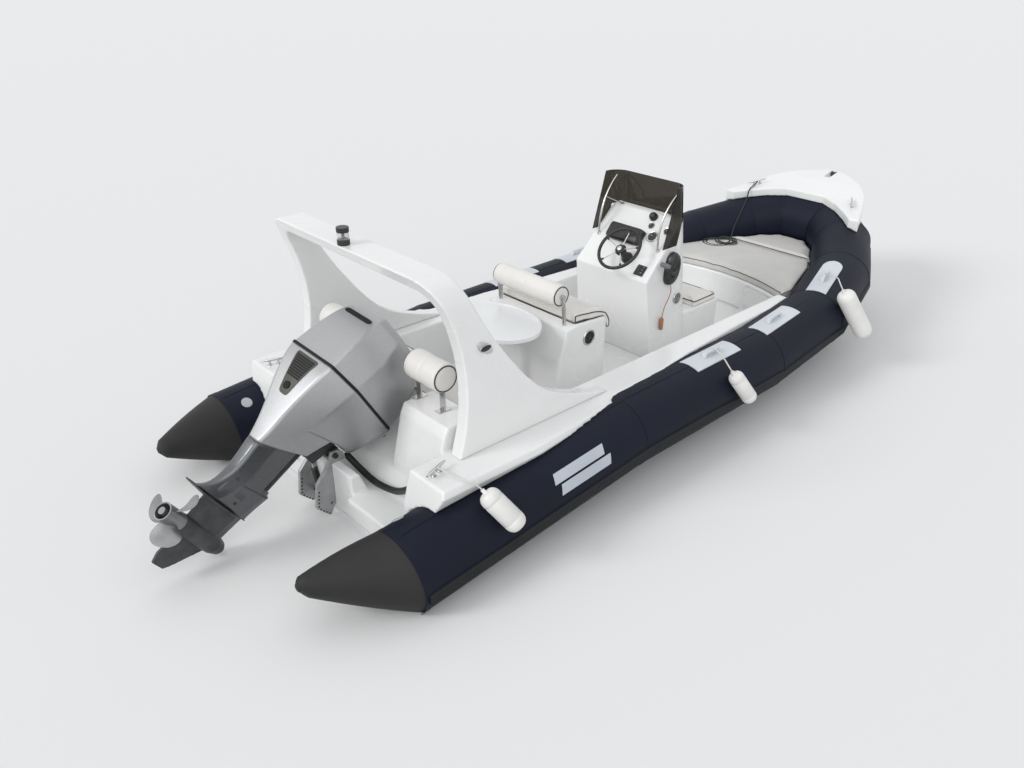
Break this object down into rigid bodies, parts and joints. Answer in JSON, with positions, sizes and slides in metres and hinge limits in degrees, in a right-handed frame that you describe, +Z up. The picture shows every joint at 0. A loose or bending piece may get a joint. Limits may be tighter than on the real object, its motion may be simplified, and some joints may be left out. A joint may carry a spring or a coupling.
{
  "type": "rigid inflatable boat with outboard motor",
  "caption": "Rigid inflatable boat afloat, with dark tubes, white deck moulding, helm console, stern arch and tilted outboard motor.",
  "frame": {"origin": "amidships on the centreline at the water's surface", "axes": "+X to the bow, +Y to port, +Z up"},
  "size_m": [7.2522, 2.776, 2.091],
  "materials": {
    "hull_gelcoat": "smooth white gelcoat",
    "deck_gelcoat": "glossy white gelcoat",
    "tube_fabric": "dark navy coated fabric, matt",
    "cone_fabric": "dark grey coated fabric, matt",
    "strake_rubber": "dark navy rubbing strip",
    "pad_fabric": "pale grey coated fabric pad",
    "valve_plastic": "black valve cap",
    "stainless": "polished stainless steel",
    "roller_rubber": "black roller",
    "foredeck_vinyl": "light grey vinyl pad",
    "seat_vinyl": "cream white vinyl with black piping",
    "dash_black": "black instrument plastic",
    "gauge_face": "black dials and switch panel",
    "smoked_screen": "smoked acrylic",
    "wheel_rim": "black soft rim",
    "throttle_black": "black control box",
    "table_gelcoat": "glossy white table",
    "pedestal_metal": "anodised post",
    "light_body": "black lamp body",
    "light_lens": "clear lens",
    "fender_vinyl": "white vinyl",
    "rope_white": "white cord",
    "rope_dark": "dark rope",
    "cowl_silver": "silver metallic motor cover",
    "motor_dark": "dark grey motor leg",
    "motor_silver": "silver motor leg",
    "bracket_metal": "silver bracket",
    "cylinder_metal": "hydraulic cylinder",
    "propeller_metal": "grey propeller"
  },
  "bodies": {
    "boat": {"hull": "hull_gelcoat", "deck_liner": "deck_gelcoat", "foredeck": "deck_gelcoat", "tube_port": "tube_fabric", "tube_starboard": "tube_fabric", "tube_bow": "tube_fabric", "tube_cones": "cone_fabric", "rub_strakes": "strake_rubber", "handle_pads": "pad_fabric", "grab_handles": "pad_fabric", "inflation_valves": "valve_plastic", "nose_cap": "deck_gelcoat", "bow_roller": "roller_rubber", "bow_cleats": "stainless", "stern_cleats": "stainless", "towing_eye": "stainless", "foredeck_cushion_aft": "foredeck_vinyl", "foredeck_cushion_forward": "foredeck_vinyl", "console": "deck_gelcoat", "instrument_pod": "dash_black", "gauges": "gauge_face", "windscreen": "smoked_screen", "windscreen_rails": "stainless", "throttle": "throttle_black", "helm_seat_box": "deck_gelcoat", "helm_seat_hinges": "stainless", "speakers": "dash_black", "helm_bolster": "seat_vinyl", "helm_bolster_posts": "stainless", "table": "table_gelcoat", "table_pedestal": "pedestal_metal", "bench_cushion": "seat_vinyl", "stern_bolster": "seat_vinyl", "stern_bolster_brackets": "stainless", "arch": "deck_gelcoat", "arch_vents": "stainless", "allround_light": "light_body", "light_lens": "light_lens", "fenders": "fender_vinyl", "lanyard_stern": "rope_white", "lanyard_mid": "rope_white", "lanyard_bow": "rope_white", "bow_line": "rope_dark", "bow_line_coil": "rope_dark", "clamp_brackets": "bracket_metal"},
    "swivel": {"swivel_bracket": "bracket_metal"},
    "motor": {"cowl_upper": "cowl_silver", "cowl_lower": "cowl_silver", "driveshaft_housing": "motor_silver", "gearcase": "motor_dark"},
    "propeller": {"propeller": "propeller_metal"},
    "wheel": {"steering_wheel": "wheel_rim"},
    "helm_lid": {"helm_seat_cushion": "seat_vinyl"},
    "console_lid": {"console_seat_cushion": "seat_vinyl", "console_seat_hinges": "stainless"},
    "locker_door": {"locker_door": "deck_gelcoat"},
    "tilt_cylinder": {"tilt_cylinder": "cylinder_metal"},
    "tilt_rod": {"tilt_rod": "cylinder_metal"}
  },
  "joints": [
    {"name": "motor_tilt", "type": "hinge", "parent": "boat", "child": "swivel", "pos_m": [-2.632, 0, 0.43], "axis": [0, 1, 0], "range_deg": [-58, 0]},
    {"name": "motor_steer", "type": "hinge", "parent": "swivel", "child": "motor", "pos_m": [-2.72209, 0, 0.57417], "axis": [0.848, 0, 0.5299], "range_deg": [-38.3, 21.7]},
    {"name": "propeller_spin", "type": "hinge", "parent": "motor", "child": "propeller", "pos_m": [-3.66015, -0.0563, 0.44306], "axis": [0.5244, 0.1444, -0.8392], "continuous": true},
    {"name": "wheel_turn", "type": "hinge", "parent": "boat", "child": "wheel", "pos_m": [0.02249, -0.083, 1.16575], "axis": [0.7009, 0, -0.7132], "range_deg": [-920, 521]},
    {"name": "helm_lid_hinge", "type": "hinge", "parent": "boat", "child": "helm_lid", "pos_m": [-0.44, 0, 0.737], "axis": [0, 1, 0], "range_deg": [0, 75]},
    {"name": "console_lid_hinge", "type": "hinge", "parent": "boat", "child": "console_lid", "pos_m": [0.697, 0, 0.5668], "axis": [0, -1, 0], "range_deg": [0, 80]},
    {"name": "locker_door_hinge", "type": "hinge", "parent": "boat", "child": "locker_door", "pos_m": [1.52286, -0.30266, 0.415], "axis": [0, 0, -1], "range_deg": [0, 100]},
    {"name": "cylinder_pivot", "type": "hinge", "parent": "boat", "child": "tilt_cylinder", "pos_m": [-2.69, 0, 0.095], "axis": [0, 1, 0], "range_deg": [-1, 5]},
    {"name": "rod_slide", "type": "slide", "parent": "tilt_cylinder", "child": "tilt_rod", "axis": [-0.1559, 0, 0.9878], "range_m": [-0.12, 0.01]}
  ],
  "couplings": [
    {"joint": "wheel_turn", "follows": "motor_steer", "ratio": 24},
    {"joint": "cylinder_pivot", "follows": "motor_tilt", "ratio": -0.034},
    {"joint": "rod_slide", "follows": "motor_tilt", "m_per_rad": 0.1129}
  ]
}
